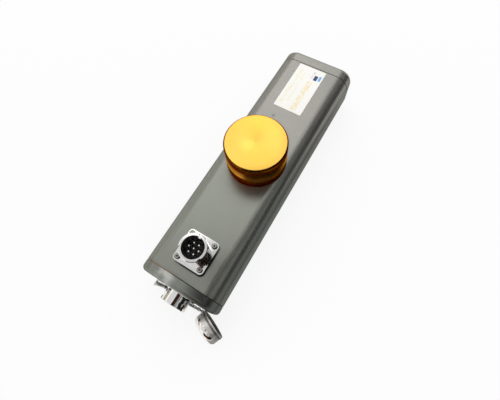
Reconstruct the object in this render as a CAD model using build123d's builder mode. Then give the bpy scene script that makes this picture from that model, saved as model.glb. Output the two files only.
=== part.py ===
from build123d import *
import math
import os

# Ultrasonic grade sensor, in millimetres.
# A drawn aluminium tube, closed by two end caps, carries a turned mounting knob, two round
# seven-pin connectors and a label. Six sound transducers look down through its floor. A dust cap
# hangs by a chain from the connector on the near end and lies beside the housing.
# The origin is on the underside, below the axis of the knob. +Z is up, the near end is at -Y.

# Housing tube
width = 81.5
height = 57.0
length = 295.0
corner_r = 15.0
wall = 3.0
floor_wall = 4.0

# End caps and their gaskets
near_cap_len = 10.0
far_cap_len = 13.5
cap_edge_r = 4.5
gasket_t = 0.8
gasket_inset = 0.5
spigot_len = 5.0
spigot_play = 0.3
spigot_side_gap = 1.0

# Cap screws and the channels they bite into
cap_screw_r = 2.0
cap_screw_play = 0.1
cap_screw_grip = 12.0
cap_head_r = 3.5
cap_head_h = 4.0
cap_head_sink = 4.4
cap_head_play = 0.25
cap_hex = 3.0
cap_hex_depth = 2.0
boss_r = 4.0
boss_inset = 8.5
boss_web = 3.5

# Circuit board and the ribs that carry it
board_t = 1.6
board_drop = 1.5
board_play = 0.4
board_side_play = 0.4
rib_t = 1.6
rib_reach = 3.0

# Parts on the board: width, length, height and Y of each block, then the capacitors
chip_sizes = (
    (24.0, 24.0, 2.6, -62.0),
    (14.0, 20.0, 2.2, -22.0),
    (30.0, 34.0, 14.0, 36.0),
    (18.0, 12.0, 2.4, 78.0),
)
capacitor_r = 5.0
capacitor_h = 13.0
capacitor_pitch = 14.0
capacitor_count = 3
capacitor_y = 104.0

# Mounting knob, its bolt and washer
knob_r = 30.5
knob_rim_h = 13.5
knob_slope = 5.0
knob_groove_h = 7.5
knob_head_h = 10.0
knob_edge = 1.4
knob_foot_edge = 0.6
bolt_r = 5.0
bolt_play = 0.5
bolt_reach = 20.0
bolt_head_flat = 16.0
bolt_head_h = 6.4
thread_play = 0.05
washer_r = 11.0
washer_t = 2.0

# Connectors
top_connector_in = 38.2
seal_t = 0.8
flange = 32.5
flange_t = 2.8
flange_corner_r = 3.6
flange_pitch = 24.6
barrel_r = 13.2
top_barrel_len = 16.0
end_barrel_len = 12.5
barrel_edge = 0.5
rear_r = 12.2
rear_len = 9.0
rear_play = 0.3
bore_r = 10.6
lip_r = 9.4
lip_t = 1.5
key_w = 2.4
key_h = 1.0
key_gap = 2.0
slot_w = 2.8
slot_depth = 1.3
slot_drop = 6.2
slot_sweep = 34.0
slot_start = -30.0
slot_count = 3
pocket_depth = 3.0
pocket_play = 1.0

# Connector insert and pins
insert_play = 0.1
insert_rise = 1.6
pin_r = 0.8
pin_play = 0.05
pin_ring_r = 5.2
pin_count = 6
pin_below_rim = 4.3
cup_r = 1.2
cup_len = 4.5

# Screws of the connector flanges
flange_screw_r = 1.5
flange_screw_play = 0.1
flange_screw_len = 9.0
flange_head_r = 2.7
flange_head_h = 1.9
flange_head_taper = 12.0

# Wires and the blocks that they end in
wire_r = 0.6
block_w = 14.0
block_h = 9.0
edge_block_len = 8.0
edge_block_grip = 4.0
edge_wire_len = 6.5

# Transducers in the floor
transducer_count = 6
transducer_in = 42.5
port_r = 15.6
sleeve_play = 0.1
sleeve_recess = 0.8
sleeve_wall = 1.6
sleeve_lip = 1.4
sleeve_lip_t = 0.8
sleeve_flange = 2.0
sleeve_flange_t = 2.0
screen_t = 0.5
can_play = 0.1
can_shoulder_t = 2.0
lead_len = 6.5
lead_r = 0.6
lead_pitch = 10.0

# Label
label_w = 32.3
label_len = 64.2
label_t = 0.3
label_x = -2.0
label_in = 47.7
label_corner_r = 1.0

# Dust cap, lying on its side
cap_r = 14.8
cap_len = 13.5
cap_front_r = 5.0
cap_bore_r = 13.5
cap_end_wall = 3.2
cap_lip = 1.6
groove_w = 1.5
groove_depth = 0.7
cap_turn = 24.0
cap_x = 38.4
cap_out = 13.1
cap_rest_gap = 0.05
cap_seal_t = 1.2
cap_seal_play = 0.2
stud_r = 1.1
stud_play = 0.05
stud_reach = 1.1
stud_from_lip = 4.6
stud_start = 180.0

# Ring in the cap's groove, with an eye for the chain
ring_wire_r = 0.5
ring_play = 0.1
eye_r = 1.7
eye_wire_r = 0.4
eye_drop = 50.0
eye_play = 0.12

# Lug under a flange screw, bent out to hold the chain
lug_t = 0.8
lug_w = 4.8
lug_reach = 9.0
lug_out = 6.0
lug_hole_r = 1.15
lug_hole_out = 3.4
lug_screw = 2

# Chain of stamped links
link_wire = 0.8
link_gap_len = 2.6
link_gap_w = 1.25
link_corner = 0.8
link_pitch = 2.3
chain_bend_r = 12.0
chain_rise_len = 8.0
chain_turn_len = 18.0
chain_sag = 1.6

# Places that follow from the sizes
near_end = -length / 2
far_end = length / 2
tube_near = near_end + near_cap_len + gasket_t
tube_far = far_end - far_cap_len - gasket_t
mid_z = height / 2
inner_x = width / 2 - wall
inner_top = height - wall
boss_step = (corner_r - boss_inset) / math.sqrt(2)
boss_x = width / 2 - corner_r + boss_step
boss_z = corner_r - boss_step
boss_points = [(sx * boss_x, z) for sx in (-1, 1) for z in (boss_z, height - boss_z)]
spigot_w = 2 * (boss_x - boss_r - spigot_side_gap)
spigot_h = inner_top - floor_wall - 2 * spigot_play
spigot_z = (inner_top + floor_wall) / 2
pocket_w = flange + 2 * pocket_play
top_rim_h = seal_t + flange_t + top_barrel_len
end_rim_h = seal_t + flange_t + end_barrel_len
insert_face = seal_t + flange_t + insert_rise
insert_back = lip_t - rear_len
board_z = mid_z - board_drop
board_top = board_z + board_t
can_top = board_z - lead_len
transducer_pitch = (length - 2 * transducer_in) / (transducer_count - 1)
top_connector_y = near_end + top_connector_in
label_y = far_end - label_in
cap_y = near_end - cap_out
top_place = Plane(origin=(0, top_connector_y, height), x_dir=(1, 0, 0), z_dir=(0, 0, 1))
end_place = Plane(origin=(0, near_end + pocket_depth, mid_z), x_dir=(-1, 0, 0), z_dir=(0, -1, 0))

os.makedirs("parts", exist_ok=True)


def across(y):
    """A plane square to the tube at this Y. Its own x is X, its own y is Z."""
    return Plane.XZ.offset(-y)


def turned(plane, angle):
    """The same plane, turned about its own normal."""
    normal = Axis((0, 0, 0), plane.z_dir)
    return Plane(origin=plane.origin, x_dir=plane.x_dir.rotate(normal, angle), z_dir=plane.z_dir)


def outline(inset=0.0):
    """The housing's outer section, drawn into the sketch that is open."""
    with Locations((0, mid_z)):
        RectangleRounded(width - 2 * inset, height - 2 * inset, corner_r - inset)


def save(builder, name):
    """Labels a finished piece and writes it under its name."""
    builder.part.label = name
    export_step(builder.part, f"parts/{name}.step")


# Housing tube, with channels for the cap screws and ribs for the board
with BuildPart() as housing_tube:
    with BuildSketch(across(tube_far)):
        outline()
        with Locations((0, spigot_z)):
            RectangleRounded(2 * inner_x, inner_top - floor_wall, corner_r - wall, mode=Mode.SUBTRACT)
        with Locations(*boss_points):
            Circle(boss_r)
        for x, z in boss_points:
            lean = boss_web / math.sqrt(2)
            with Locations((x + math.copysign(lean, x), z + math.copysign(lean, z - mid_z))):
                Rectangle(2 * boss_r, 2 * boss_r, rotation=45)
        rib_x = inner_x - rib_reach / 2
        for rib_z in (board_z - rib_t / 2, board_top + board_play + rib_t / 2):
            with Locations((-rib_x, rib_z), (rib_x, rib_z)):
                Rectangle(rib_reach, rib_t)
        with Locations(*boss_points):
            Circle(cap_screw_r + cap_screw_play, mode=Mode.SUBTRACT)
    extrude(amount=tube_far - tube_near)
    with BuildSketch(Plane.XY):
        with GridLocations(1, transducer_pitch, 1, transducer_count):
            Circle(port_r)
    extrude(amount=floor_wall, mode=Mode.SUBTRACT)
    with BuildSketch(Plane.XY.offset(height)):
        Circle(bolt_r + bolt_play)
        with Locations((0, top_connector_y)):
            Circle(rear_r + rear_play)
            with GridLocations(flange_pitch, flange_pitch, 2, 2):
                Circle(flange_screw_r + flange_screw_play)
    extrude(amount=-wall, mode=Mode.SUBTRACT)
save(housing_tube, "housing_tube")


def end_cap(outer_y, thickness, way):
    """A cast cap whose inside faces +Y where way is 1, and -Y where it is -1."""
    with BuildPart() as cap:
        with BuildSketch(across(outer_y)):
            outline()
        extrude(amount=-way * thickness)
        outside = cap.faces().sort_by(Axis.Y)[0 if way > 0 else -1]
        fillet(outside.edges(), cap_edge_r)
        with BuildSketch(across(outer_y + way * thickness)):
            with Locations((0, spigot_z)):
                Rectangle(spigot_w, spigot_h)
        extrude(amount=-way * (gasket_t + spigot_len))
        with BuildSketch(across(outer_y)):
            with Locations(*boss_points):
                Circle(cap_head_r + cap_head_play)
        extrude(amount=-way * cap_head_sink, mode=Mode.SUBTRACT)
        with BuildSketch(across(outer_y)):
            with Locations(*boss_points):
                Circle(cap_screw_r + cap_screw_play)
        extrude(amount=-way * thickness, mode=Mode.SUBTRACT)
    return cap


def end_gasket(inner_y, way):
    """A flat seal between a cap and the tube, set back from the outside as a dark line."""
    with BuildPart() as seal:
        with BuildSketch(across(inner_y)):
            outline(gasket_inset)
            with Locations((0, spigot_z)):
                Rectangle(spigot_w + 2 * spigot_play, spigot_h + 2 * spigot_play, mode=Mode.SUBTRACT)
            with Locations(*boss_points):
                Circle(cap_screw_r + cap_screw_play, mode=Mode.SUBTRACT)
        extrude(amount=-way * gasket_t)
    return seal


def end_screws(outer_y, thickness, way):
    """Four socket-head screws, sunk in the cap and biting into the tube's channels."""
    seat_y = outer_y + way * cap_head_sink
    with BuildPart() as screws:
        with BuildSketch(across(seat_y)):
            with Locations(*boss_points):
                Circle(cap_head_r)
        extrude(amount=way * cap_head_h)
        with BuildSketch(across(seat_y)):
            with Locations(*boss_points):
                Circle(cap_screw_r)
        extrude(amount=-way * (thickness - cap_head_sink + gasket_t + cap_screw_grip))
        with BuildSketch(across(seat_y - way * cap_head_h)):
            with Locations(*boss_points):
                RegularPolygon(cap_hex / 2, 6, major_radius=False)
        extrude(amount=-way * cap_hex_depth, mode=Mode.SUBTRACT)
    return screws


# Near end cap, with the pocket and bore for its connector
with BuildPart() as near_end_cap:
    add(end_cap(near_end, near_cap_len, 1).part)
    with BuildSketch(across(near_end)):
        with Locations((0, mid_z)):
            RectangleRounded(pocket_w, pocket_w, flange_corner_r + pocket_play)
    extrude(amount=-pocket_depth, mode=Mode.SUBTRACT)
    with BuildSketch(end_place):
        Circle(rear_r + rear_play)
    extrude(amount=-(near_cap_len + gasket_t + spigot_len), mode=Mode.SUBTRACT)
    with BuildSketch(end_place):
        with GridLocations(flange_pitch, flange_pitch, 2, 2):
            Circle(flange_screw_r + flange_screw_play)
    extrude(amount=-flange_screw_len, mode=Mode.SUBTRACT)
save(near_end_cap, "near_end_cap")

far_end_cap = end_cap(far_end, far_cap_len, -1)
save(far_end_cap, "far_end_cap")

save(end_gasket(near_end + near_cap_len, 1), "near_end_gasket")
save(end_gasket(far_end - far_cap_len, -1), "far_end_gasket")
save(end_screws(near_end, near_cap_len, 1), "near_cap_screws")
save(end_screws(far_end, far_cap_len, -1), "far_cap_screws")

# Mounting knob: two rims with a groove between them for the machine's clamp
slope_top = height + knob_rim_h + knob_slope
head_z = slope_top + knob_groove_h
knob_top = head_z + knob_head_h
with BuildPart() as mounting_knob:
    with BuildSketch(Plane.XZ):
        with BuildLine():
            Polyline(
                (0, height),
                (knob_r, height),
                (knob_r, height + knob_rim_h),
                (knob_r - knob_slope, slope_top),
                (knob_r - knob_slope, head_z),
                (knob_r, head_z),
                (knob_r, knob_top),
                (0, knob_top),
                close=True,
            )
        make_face()
    revolve(axis=Axis.Z)
    round_edges = mounting_knob.edges().filter_by(GeomType.CIRCLE)
    chamfer(round_edges.sort_by(Axis.Z)[-1], knob_edge)
    chamfer(mounting_knob.edges().filter_by(GeomType.CIRCLE).sort_by(Axis.Z)[0], knob_foot_edge)
    with BuildSketch(Plane.XY.offset(height)):
        Circle(bolt_r + thread_play)
    extrude(amount=bolt_reach + 2 * bolt_play, mode=Mode.SUBTRACT)
save(mounting_knob, "mounting_knob")

with BuildPart() as knob_washer:
    with BuildSketch(Plane.XY.offset(inner_top)):
        Circle(washer_r)
        Circle(bolt_r + bolt_play, mode=Mode.SUBTRACT)
    extrude(amount=-washer_t)
save(knob_washer, "knob_washer")

with BuildPart() as knob_bolt:
    with BuildSketch(Plane.XY.offset(inner_top - washer_t)):
        RegularPolygon(bolt_head_flat / 2, 6, major_radius=False)
    extrude(amount=-bolt_head_h)
    with BuildSketch(Plane.XY.offset(inner_top - washer_t)):
        Circle(bolt_r)
    extrude(amount=washer_t + wall + bolt_reach)
save(knob_bolt, "knob_bolt")


def connector_shell(place, rim_h):
    """Plated shell: square flange, barrel with bayonet tracks, and a rear sleeve with a lip."""
    with BuildPart() as shell:
        with BuildSketch(place.offset(seal_t)):
            RectangleRounded(flange, flange, flange_corner_r)
        extrude(amount=flange_t)
        with BuildSketch(place.offset(-rear_len)):
            Circle(rear_r)
        extrude(amount=rear_len + seal_t)
        with BuildSketch(place.offset(seal_t + flange_t)):
            Circle(barrel_r)
        extrude(amount=rim_h - seal_t - flange_t)
        rim = shell.faces().sort_by(Axis(place.origin, place.z_dir))[-1]
        chamfer(rim.edges(), barrel_edge)
        with BuildSketch(place.offset(rim_h)):
            Circle(bore_r)
        extrude(amount=insert_back - rim_h, mode=Mode.SUBTRACT)
        with BuildSketch(place.offset(-rear_len)):
            Circle(lip_r)
        extrude(amount=lip_t, mode=Mode.SUBTRACT)
        with BuildSketch(place.offset(seal_t)):
            with GridLocations(flange_pitch, flange_pitch, 2, 2):
                Circle(flange_screw_r + flange_screw_play)
        extrude(amount=flange_t, mode=Mode.SUBTRACT)
        with BuildSketch(place.offset(insert_face)):
            with Locations((0, bore_r)):
                Rectangle(key_w, 2 * key_h)
        extrude(amount=rim_h - key_gap - insert_face)
        with BuildSketch(place.offset(rim_h)):
            with PolarLocations(barrel_r, slot_count, slot_start):
                Rectangle(2 * slot_depth, slot_w)
        extrude(amount=-slot_drop, mode=Mode.SUBTRACT)
        for i in range(slot_count):
            spoke = turned(place, slot_start + 360 / slot_count * i)
            with BuildSketch(Plane(origin=spoke.origin, x_dir=spoke.x_dir, z_dir=-spoke.y_dir)):
                with Locations((barrel_r, rim_h - slot_drop + slot_w / 2)):
                    Rectangle(2 * slot_depth, slot_w)
            revolve(axis=Axis(place.origin, place.z_dir), revolution_arc=slot_sweep, mode=Mode.SUBTRACT)
    return shell


def connector_seal(place):
    """Black rubber sheet between the flange and the housing."""
    with BuildPart() as seal:
        with BuildSketch(place):
            RectangleRounded(flange, flange, flange_corner_r)
            Circle(rear_r + rear_play, mode=Mode.SUBTRACT)
            with GridLocations(flange_pitch, flange_pitch, 2, 2):
                Circle(flange_screw_r + flange_screw_play, mode=Mode.SUBTRACT)
        extrude(amount=seal_t)
    return seal


def connector_insert(place):
    """Moulded block that holds the pins, seated on the lip of the shell."""
    with BuildPart() as insert:
        with BuildSketch(place.offset(insert_back)):
            Circle(bore_r - insert_play)
            Circle(pin_r + pin_play, mode=Mode.SUBTRACT)
            with PolarLocations(pin_ring_r, pin_count):
                Circle(pin_r + pin_play, mode=Mode.SUBTRACT)
        extrude(amount=insert_face - insert_back)
    return insert


def connector_pins(place, rim_h):
    """Seven contact pins, each with a solder cup behind the insert."""
    with BuildPart() as pins:
        with BuildSketch(place.offset(insert_back)):
            Circle(pin_r)
            with PolarLocations(pin_ring_r, pin_count):
                Circle(pin_r)
        extrude(amount=rim_h - pin_below_rim - insert_back)
        with BuildSketch(place.offset(insert_back)):
            Circle(cup_r)
            with PolarLocations(pin_ring_r, pin_count):
                Circle(cup_r)
        extrude(amount=-cup_len)
    return pins


def connector_screws(place, raised=()):
    """Four pan-head screws. Those whose numbers are in raised hold a lug under the head."""
    with BuildPart() as screws:
        for i, spot in enumerate(GridLocations(flange_pitch, flange_pitch, 2, 2)):
            seat = seal_t + flange_t + (lug_t if i in raised else 0)
            with BuildSketch(place.offset(seat)):
                with Locations(spot):
                    Circle(flange_head_r)
            extrude(amount=flange_head_h, taper=flange_head_taper)
            with BuildSketch(place.offset(seat)):
                with Locations(spot):
                    Circle(flange_screw_r)
            extrude(amount=-flange_screw_len)
    return screws


def connector_wires(place, reach):
    """Seven wires, straight from the solder cups to the block on the board."""
    with BuildPart() as wires:
        with BuildSketch(place.offset(insert_back - cup_len)):
            Circle(wire_r)
            with PolarLocations(pin_ring_r, pin_count):
                Circle(wire_r)
        extrude(amount=-reach)
    return wires


top_block_top = board_top + block_h
top_wire_len = height + insert_back - cup_len - top_block_top
for prefix, place, rim_h, wire_len, raised in (
    ("top", top_place, top_rim_h, top_wire_len, ()),
    ("end", end_place, end_rim_h, edge_wire_len, (lug_screw,)),
):
    save(connector_shell(place, rim_h), f"{prefix}_connector_shell")
    save(connector_seal(place), f"{prefix}_connector_gasket")
    save(connector_insert(place), f"{prefix}_connector_insert")
    save(connector_pins(place, rim_h), f"{prefix}_connector_pins")
    save(connector_screws(place, raised), f"{prefix}_connector_screws")
    save(connector_wires(place, wire_len), f"{prefix}_connector_wires")

# Circuit board on the lower ribs, with its parts on top
edge_block_near = near_end + pocket_depth - insert_back + cup_len + edge_wire_len
board_near = edge_block_near + edge_block_len - edge_block_grip
board_far = tube_far - spigot_len - board_play
with BuildPart() as circuit_board:
    with BuildSketch(Plane.XY.offset(board_z)):
        with Locations((0, (board_near + board_far) / 2)):
            Rectangle(2 * (inner_x - board_side_play), board_far - board_near)
    extrude(amount=board_t)
save(circuit_board, "circuit_board")

with BuildPart() as top_wire_block:
    with BuildSketch(Plane.XY.offset(board_top)):
        with Locations((0, top_connector_y)):
            Rectangle(block_w, block_w)
    extrude(amount=block_h)
save(top_wire_block, "top_wire_block")

with BuildPart() as end_wire_block:
    with BuildSketch(across(edge_block_near)):
        with Locations((0, mid_z)):
            Rectangle(block_w, block_w)
    extrude(amount=-edge_block_len)
    with BuildSketch(across(board_near)):
        with Locations((0, board_z + board_t / 2)):
            Rectangle(block_w, board_t)
    extrude(amount=-edge_block_grip, mode=Mode.SUBTRACT)
save(end_wire_block, "end_wire_block")

with BuildPart() as board_chips:
    for chip_w, chip_len, chip_h, chip_y in chip_sizes:
        with BuildSketch(Plane.XY.offset(board_top)):
            with Locations((0, chip_y)):
                Rectangle(chip_w, chip_len)
        extrude(amount=chip_h)
save(board_chips, "board_chips")

with BuildPart() as board_capacitors:
    with BuildSketch(Plane.XY.offset(board_top)):
        with Locations((0, capacitor_y)):
            with GridLocations(capacitor_pitch, 1, capacitor_count, 1):
                Circle(capacitor_r)
    extrude(amount=capacitor_h)
save(board_capacitors, "board_capacitors")

# Transducers: rubber sleeve in the floor, steel screen, can, and two leads up to the board
sleeve_r = port_r - sleeve_play
can_r = sleeve_r - sleeve_wall
flange_z = floor_wall + sleeve_flange_t
screen_z = sleeve_recess + sleeve_lip_t
can_z = screen_z + screen_t
with BuildPart() as transducer_sleeves:
    with BuildSketch(Plane.XY.offset(sleeve_recess)):
        with GridLocations(1, transducer_pitch, 1, transducer_count):
            Circle(sleeve_r)
            Circle(can_r - sleeve_lip, mode=Mode.SUBTRACT)
    extrude(amount=sleeve_lip_t)
    with BuildSketch(Plane.XY.offset(screen_z)):
        with GridLocations(1, transducer_pitch, 1, transducer_count):
            Circle(sleeve_r)
            Circle(can_r + can_play, mode=Mode.SUBTRACT)
    extrude(amount=floor_wall - screen_z)
    with BuildSketch(Plane.XY.offset(floor_wall)):
        with GridLocations(1, transducer_pitch, 1, transducer_count):
            Circle(sleeve_r + sleeve_flange)
            Circle(can_r + can_play, mode=Mode.SUBTRACT)
    extrude(amount=sleeve_flange_t)
save(transducer_sleeves, "transducer_sleeves")

with BuildPart() as transducer_screens:
    with BuildSketch(Plane.XY.offset(screen_z)):
        with GridLocations(1, transducer_pitch, 1, transducer_count):
            Circle(can_r)
    extrude(amount=screen_t)
save(transducer_screens, "transducer_screens")

with BuildPart() as transducers:
    with BuildSketch(Plane.XY.offset(can_z)):
        with GridLocations(1, transducer_pitch, 1, transducer_count):
            Circle(can_r)
    extrude(amount=can_top - can_z)
    with BuildSketch(Plane.XY.offset(flange_z)):
        with GridLocations(1, transducer_pitch, 1, transducer_count):
            Circle(sleeve_r)
    extrude(amount=can_shoulder_t)
save(transducers, "transducers")

with BuildPart() as transducer_leads:
    with BuildSketch(Plane.XY.offset(can_top)):
        with GridLocations(lead_pitch, transducer_pitch, 2, transducer_count):
            Circle(lead_r)
    extrude(amount=board_z - can_top)
save(transducer_leads, "transducer_leads")

# Label near the far end
with BuildPart() as label:
    with BuildSketch(Plane.XY.offset(height)):
        with Locations((label_x, label_y)):
            RectangleRounded(label_w, label_len, label_corner_r)
    extrude(amount=label_t)
save(label, "label")

# Dust cap: its open end looks along cap_way, its axis lies level above the table
ring_r = cap_r - groove_depth + ring_play + ring_wire_r
cap_z = max(cap_r, ring_r + ring_wire_r) + cap_rest_gap
cap_way = Vector(math.sin(math.radians(cap_turn)), math.cos(math.radians(cap_turn)), 0)
cap_side = Vector(cap_way.Y, -cap_way.X, 0)
cap_place = Plane(origin=(cap_x, cap_y, cap_z), x_dir=(0, 0, 1), z_dir=cap_way)
cap_axis = Axis(cap_place.origin, cap_place.z_dir)
cap_section = Plane(origin=cap_place.origin, x_dir=cap_side, z_dir=cap_side.cross(cap_way))
groove_at = cap_len / 2 - cap_lip - groove_w / 2
stud_plane = cap_place.offset(cap_len / 2 - stud_from_lip)
stud_turns = [turned(stud_plane, stud_start + 360 / slot_count * i) for i in range(slot_count)]
stud_spokes = [Plane(origin=t.origin, x_dir=t.y_dir, z_dir=t.x_dir) for t in stud_turns]
with BuildPart() as dust_cap:
    with BuildSketch(cap_place.offset(-cap_len / 2)):
        Circle(cap_r)
    extrude(amount=cap_len)
    front = dust_cap.faces().sort_by(cap_axis)[0]
    fillet(front.edges(), cap_front_r)
    with BuildSketch(cap_place.offset(cap_len / 2)):
        Circle(cap_bore_r)
    extrude(amount=cap_end_wall - cap_len, mode=Mode.SUBTRACT)
    with BuildSketch(cap_place.offset(groove_at - groove_w / 2)):
        Circle(cap_r + groove_depth)
        Circle(cap_r - groove_depth, mode=Mode.SUBTRACT)
    extrude(amount=groove_w, mode=Mode.SUBTRACT)
    for spoke in stud_spokes:
        with BuildSketch(spoke):
            Circle(stud_r + stud_play)
        extrude(amount=cap_r, mode=Mode.SUBTRACT)
save(dust_cap, "dust_cap")

with BuildPart() as dust_cap_studs:
    for spoke in stud_spokes:
        with BuildSketch(spoke.offset(cap_bore_r - stud_reach)):
            Circle(stud_r)
        extrude(amount=cap_r - cap_bore_r + stud_reach - stud_play)
save(dust_cap_studs, "dust_cap_studs")

with BuildPart() as dust_cap_seal:
    with BuildSketch(cap_place.offset(cap_end_wall - cap_len / 2)):
        Circle(cap_bore_r - cap_seal_play)
    extrude(amount=cap_seal_t)
save(dust_cap_seal, "dust_cap_seal")

# Wire ring in the cap's groove; the eye stands out on the chain's side
eye_angle = math.radians(eye_drop)
eye_out = ring_r + eye_r
eye_level = Vector(-cap_side.X, -cap_side.Y, 0) * (eye_out * math.cos(eye_angle))
ring_centre = Vector(cap_x, cap_y, cap_z) + cap_way * groove_at
eye_centre = ring_centre + eye_level - Vector(0, 0, eye_out * math.sin(eye_angle))
with BuildPart() as cap_ring:
    with BuildSketch(cap_section):
        with Locations((ring_r, groove_at)):
            Circle(ring_wire_r)
    revolve(axis=cap_axis)
    with BuildSketch(Plane(origin=eye_centre, x_dir=cap_section.x_dir, z_dir=cap_section.z_dir)):
        with Locations((eye_r, 0)):
            Circle(eye_wire_r)
    revolve(axis=Axis(eye_centre, cap_way))
save(cap_ring, "cap_ring")

# Chain lug: a strip under one flange screw, its end bent out with a hole for the first link
lug_back = near_end + pocket_depth - seal_t - flange_t
lug_x = -flange_pitch / 2 - lug_reach
lug_z = mid_z + flange_pitch / 2
with BuildPart() as chain_lug:
    with BuildSketch(across(lug_back)):
        with Locations((-flange_pitch / 2 - lug_reach / 2, lug_z)):
            Rectangle(lug_reach, lug_w)
        with Locations((-flange_pitch / 2, lug_z)):
            Circle(lug_w / 2)
            Circle(flange_screw_r + flange_screw_play, mode=Mode.SUBTRACT)
    extrude(amount=lug_t)
    with BuildSketch(Plane.YZ.offset(lug_x)):
        with Locations((lug_back - lug_out / 2, lug_z)):
            Rectangle(lug_out, lug_w)
        with Locations((lug_back - lug_hole_out, lug_z)):
            Circle(lug_hole_r, mode=Mode.SUBTRACT)
    extrude(amount=-lug_t)
save(chain_lug, "chain_lug")

# Chain: it hangs from the lug, lies across the table and ends in the ring's eye
link_len = link_gap_len + 2 * link_wire
link_w = link_gap_w + 2 * link_wire
link_half_turn = (link_w + link_wire) / 2 / math.sqrt(2)
table_z = link_half_turn + cap_rest_gap
hole_floor = lug_z - math.sqrt(lug_hole_r**2 - (link_wire / 2) ** 2)
first_z = hole_floor + eye_play - link_gap_len / 2
hang_x = lug_x - lug_t / 2
hang_y = lug_back - lug_hole_out
chain_end = eye_centre - cap_side * eye_r - Vector(link_gap_len / 2 - eye_wire_r - eye_play, 0, 0)
chain_route = (
    (hang_x, hang_y, first_z),
    (hang_x, hang_y, table_z),
    (0.0, hang_y - chain_sag, table_z),
    (chain_end.X - chain_rise_len, chain_end.Y, table_z),
    (chain_end.X, chain_end.Y, chain_end.Z),
)
with BuildLine() as chain_line:
    FilletPolyline(*chain_route, radius=[chain_bend_r, 3 * chain_bend_r, 3 * chain_bend_r])
chain_path = chain_line.wire()
link_count = 2 * math.ceil(chain_path.length / link_pitch / 2)
link_step = chain_path.length / (link_count - 1)
hang_len = first_z - table_z
with BuildPart() as one_link:
    with BuildSketch(Plane.XY.offset(-link_wire / 2)) as link_shape:
        Rectangle(link_len, link_w)
        chamfer(link_shape.vertices(), link_corner)
        Rectangle(link_gap_len, link_gap_w, mode=Mode.SUBTRACT)
    extrude(amount=link_wire)
link_places = []
for i in range(link_count):
    run = i * link_step
    along = chain_path.tangent_at(run, position_mode=PositionMode.LENGTH)
    centre = chain_path.position_at(run, position_mode=PositionMode.LENGTH)
    side = (Vector(0, 1, 0) - along * along.Y).normalized()
    lean = 45 * min(1, run / hang_len, (chain_path.length - run) / chain_turn_len)
    roll = 90 * (i % 2) + lean
    flat_way = side.rotate(Axis((0, 0, 0), along), roll)
    link_places.append(Plane(origin=centre, x_dir=along, z_dir=flat_way).location)
with BuildPart() as chain:
    with Locations(*link_places):
        add(one_link.part)
save(chain, "chain")
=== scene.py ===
import math

import bpy
from mathutils import Matrix, Vector


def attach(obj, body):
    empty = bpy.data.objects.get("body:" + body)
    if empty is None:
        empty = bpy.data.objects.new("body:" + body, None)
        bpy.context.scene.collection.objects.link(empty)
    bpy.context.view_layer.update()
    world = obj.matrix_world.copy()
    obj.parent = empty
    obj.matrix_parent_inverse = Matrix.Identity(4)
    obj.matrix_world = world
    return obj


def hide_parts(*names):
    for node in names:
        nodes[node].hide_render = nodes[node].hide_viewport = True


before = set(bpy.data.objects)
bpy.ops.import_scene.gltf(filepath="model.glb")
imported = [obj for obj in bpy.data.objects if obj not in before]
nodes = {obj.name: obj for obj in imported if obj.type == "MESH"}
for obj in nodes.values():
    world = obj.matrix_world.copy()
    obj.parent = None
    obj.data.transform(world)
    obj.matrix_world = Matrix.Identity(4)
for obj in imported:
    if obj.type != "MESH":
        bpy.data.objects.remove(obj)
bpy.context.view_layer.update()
bpy.context.scene.view_settings.view_transform = "Standard"

# Camera. It stands high above the near right corner of the sensor and looks down along it, with the
# wide lens and the small tilt of the photographed perspective.
azimuth, elevation, tilt = math.radians(39.26), math.radians(65.96), math.radians(-8.89)
camera_place = (0.08819, -0.13564, 0.37338)
level = math.cos(elevation)
back = Vector((math.sin(azimuth) * level, -math.cos(azimuth) * level, math.sin(elevation)))
right = Vector((math.cos(azimuth), math.sin(azimuth), 0))
up = back.cross(right)
right, up = (
    right * math.cos(tilt) + up * math.sin(tilt),
    up * math.cos(tilt) - right * math.sin(tilt),
)
camera = bpy.data.objects.new("camera", bpy.data.cameras.new("camera"))
bpy.context.scene.collection.objects.link(camera)
bpy.context.scene.camera = camera
aim = Matrix((right, up, back)).transposed().to_4x4()
camera.matrix_world = Matrix.Translation(camera_place) @ aim
camera.data.sensor_width = 36
camera.data.lens = 25.074
camera.data.shift_x = 0.01536
camera.data.shift_y = -0.04076
camera.data.clip_start = 0.01


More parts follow.
